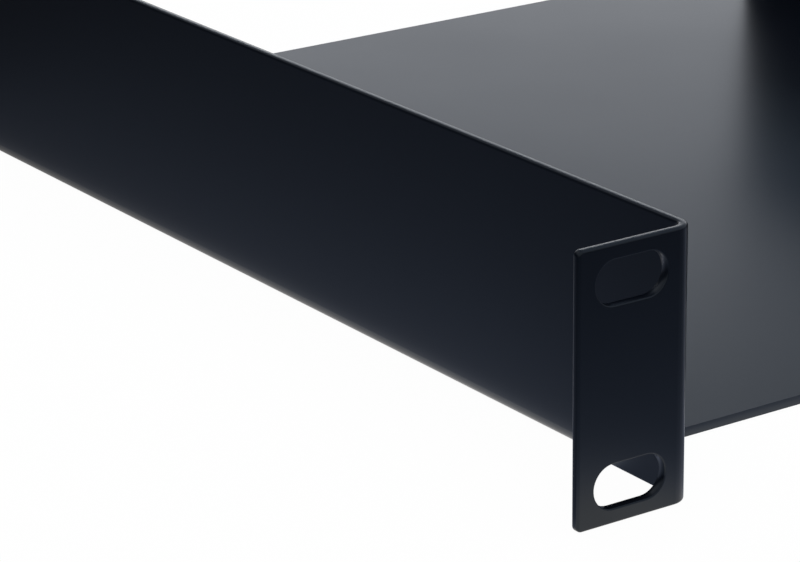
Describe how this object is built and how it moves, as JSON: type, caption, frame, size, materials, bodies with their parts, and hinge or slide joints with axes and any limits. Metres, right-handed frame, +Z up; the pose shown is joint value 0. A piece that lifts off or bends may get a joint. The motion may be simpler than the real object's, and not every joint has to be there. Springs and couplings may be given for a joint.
{
  "type": "rack shelf",
  "caption": "Open-topped rack shelf folded from a single sheet: a flat plate between upright side walls, with slotted ears bent outwards at the front for screwing to a rack.",
  "frame": {"origin": "middle of the shelf's footprint, on the plane of the plate's underside", "axes": "+X across the shelf to the right seen from the front, +Y from the ears to the rear edge, +Z up"},
  "size_m": [0.2558, 0.2418, 0.0437],
  "materials": {
    "black_powder_coat": "satin black powder coat with a fine texture"
  },
  "bodies": {
    "root": {"shelf": "black_powder_coat"}
  },
  "joints": []
}
